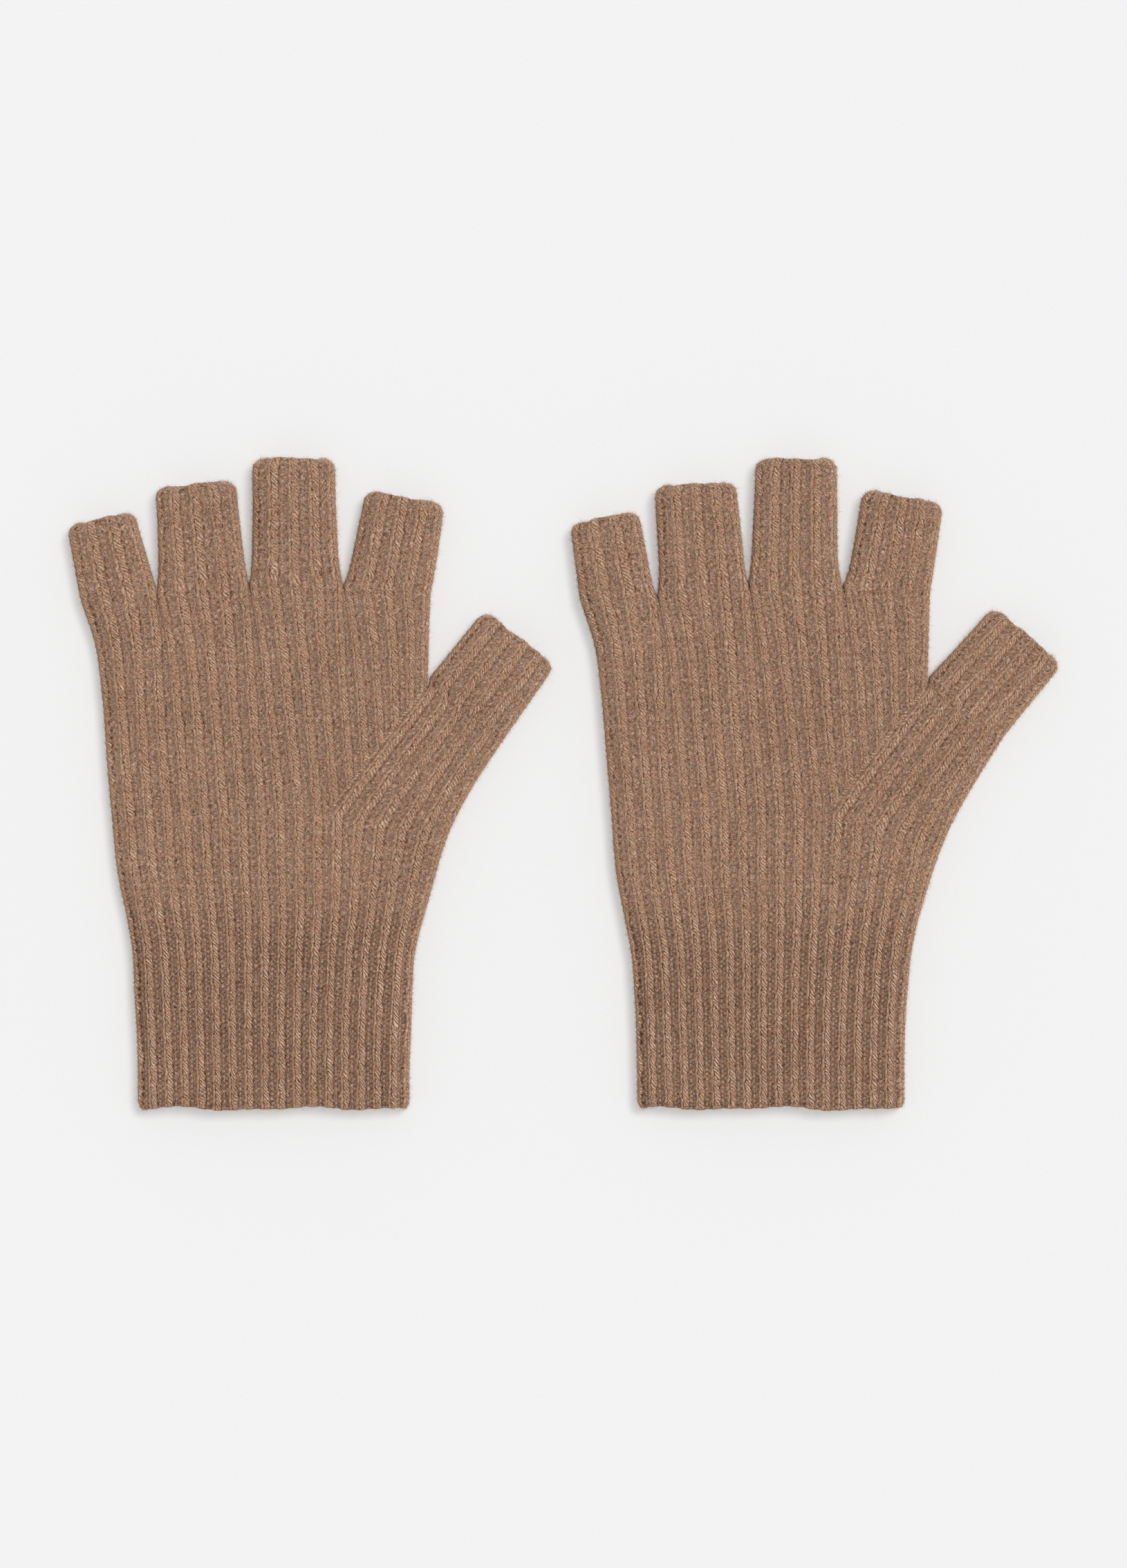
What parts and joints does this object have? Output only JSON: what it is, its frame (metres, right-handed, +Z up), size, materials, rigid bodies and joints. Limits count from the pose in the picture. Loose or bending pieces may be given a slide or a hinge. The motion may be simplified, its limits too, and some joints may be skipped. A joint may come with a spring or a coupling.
{
  "type": "fingerless gloves",
  "caption": "Pair of ribbed knitted fingerless gloves lying flat, with open finger and thumb tubes and long fitted cuffs that fold at the wrist.",
  "frame": {"origin": "under the middle of the pair, on the surface it rests on", "axes": "+Y from the cuffs to the fingers, +X toward the thumbs, +Z up from the table"},
  "size_m": [0.2862, 0.188, 0.0094],
  "materials": {
    "ribbed_cuff": "close wool rib, matt",
    "soft_rib": "brushed soft wool rib, matt",
    "cast_edge": "cast-off chain of wool loops, matt",
    "seam": "linked wool seam, matt"
  },
  "bodies": {
    "left_hand": {"left_hand": "soft_rib", "left_thumb_join_palm": "seam", "left_thumb_join_back": "seam"},
    "left_cuff": {"left_cuff": "ribbed_cuff", "left_cuff_cast_on_edge": "cast_edge"},
    "left_little_finger": {"left_little_finger": "soft_rib", "left_little_finger_cast_off_edge": "cast_edge"},
    "left_ring_finger": {"left_ring_finger": "soft_rib", "left_ring_finger_cast_off_edge": "cast_edge"},
    "left_middle_finger": {"left_middle_finger": "soft_rib", "left_middle_finger_cast_off_edge": "cast_edge"},
    "left_index_finger": {"left_index_finger": "soft_rib", "left_index_finger_cast_off_edge": "cast_edge"},
    "left_thumb": {"left_thumb": "soft_rib", "left_thumb_cast_off_edge": "cast_edge"},
    "right_hand": {"right_hand": "soft_rib", "right_thumb_join_palm": "seam", "right_thumb_join_back": "seam"},
    "right_cuff": {"right_cuff": "ribbed_cuff", "right_cuff_cast_on_edge": "cast_edge"},
    "right_little_finger": {"right_little_finger": "soft_rib", "right_little_finger_cast_off_edge": "cast_edge"},
    "right_ring_finger": {"right_ring_finger": "soft_rib", "right_ring_finger_cast_off_edge": "cast_edge"},
    "right_middle_finger": {"right_middle_finger": "soft_rib", "right_middle_finger_cast_off_edge": "cast_edge"},
    "right_index_finger": {"right_index_finger": "soft_rib", "right_index_finger_cast_off_edge": "cast_edge"},
    "right_thumb": {"right_thumb": "soft_rib", "right_thumb_cast_off_edge": "cast_edge"}
  },
  "joints": [
    {"name": "left_wrist_fold", "type": "hinge", "parent": "left_hand", "child": "left_cuff", "pos_m": [-0.08388, -0.03897, 0.0094], "axis": [-1, 0, 0], "range_deg": [0, 90]},
    {"name": "left_little_finger_fold", "type": "hinge", "parent": "left_hand", "child": "left_little_finger", "pos_m": [-0.12791, 0.05443, 0.0094], "axis": [0.9763, 0.2164, 0], "range_deg": [0, 90]},
    {"name": "left_ring_finger_fold", "type": "hinge", "parent": "left_hand", "child": "left_ring_finger", "pos_m": [-0.10326, 0.05903, 0.0094], "axis": [0.9962, 0.0872, 0], "range_deg": [0, 90]},
    {"name": "left_middle_finger_fold", "type": "hinge", "parent": "left_hand", "child": "left_middle_finger", "pos_m": [-0.07701, 0.06123, 0.0094], "axis": [1, 0.007, 0], "range_deg": [0, 90]},
    {"name": "left_index_finger_fold", "type": "hinge", "parent": "left_hand", "child": "left_index_finger", "pos_m": [-0.05106, 0.05663, 0.0094], "axis": [0.9848, -0.1736, 0], "range_deg": [0, 90]},
    {"name": "left_thumb_fold", "type": "hinge", "parent": "left_hand", "child": "left_thumb", "pos_m": [-0.02676, 0.0215, 0.0094], "axis": [0.7934, -0.6088, 0], "range_deg": [0, 80]},
    {"name": "right_wrist_fold", "type": "hinge", "parent": "right_hand", "child": "right_cuff", "pos_m": [0.06052, -0.03897, 0.0094], "axis": [-1, 0, 0], "range_deg": [0, 90]},
    {"name": "right_little_finger_fold", "type": "hinge", "parent": "right_hand", "child": "right_little_finger", "pos_m": [0.01649, 0.05443, 0.0094], "axis": [0.9848, 0.1736, 0], "range_deg": [0, 90]},
    {"name": "right_ring_finger_fold", "type": "hinge", "parent": "right_hand", "child": "right_ring_finger", "pos_m": [0.04114, 0.05903, 0.0094], "axis": [0.9976, 0.0698, 0], "range_deg": [0, 90]},
    {"name": "right_middle_finger_fold", "type": "hinge", "parent": "right_hand", "child": "right_middle_finger", "pos_m": [0.06739, 0.06123, 0.0094], "axis": [0.9999, -0.014, 0], "range_deg": [0, 90]},
    {"name": "right_index_finger_fold", "type": "hinge", "parent": "right_hand", "child": "right_index_finger", "pos_m": [0.09334, 0.05663, 0.0094], "axis": [0.9863, -0.165, 0], "range_deg": [0, 90]},
    {"name": "right_thumb_fold", "type": "hinge", "parent": "right_hand", "child": "right_thumb", "pos_m": [0.11726, 0.0209, 0.0094], "axis": [0.7604, -0.6494, 0], "range_deg": [0, 80]},
    {"name": "right_glove_apart", "type": "slide", "parent": "left_hand", "child": "right_hand", "axis": [1, 0, 0], "range_m": [0, 0.2]}
  ]
}
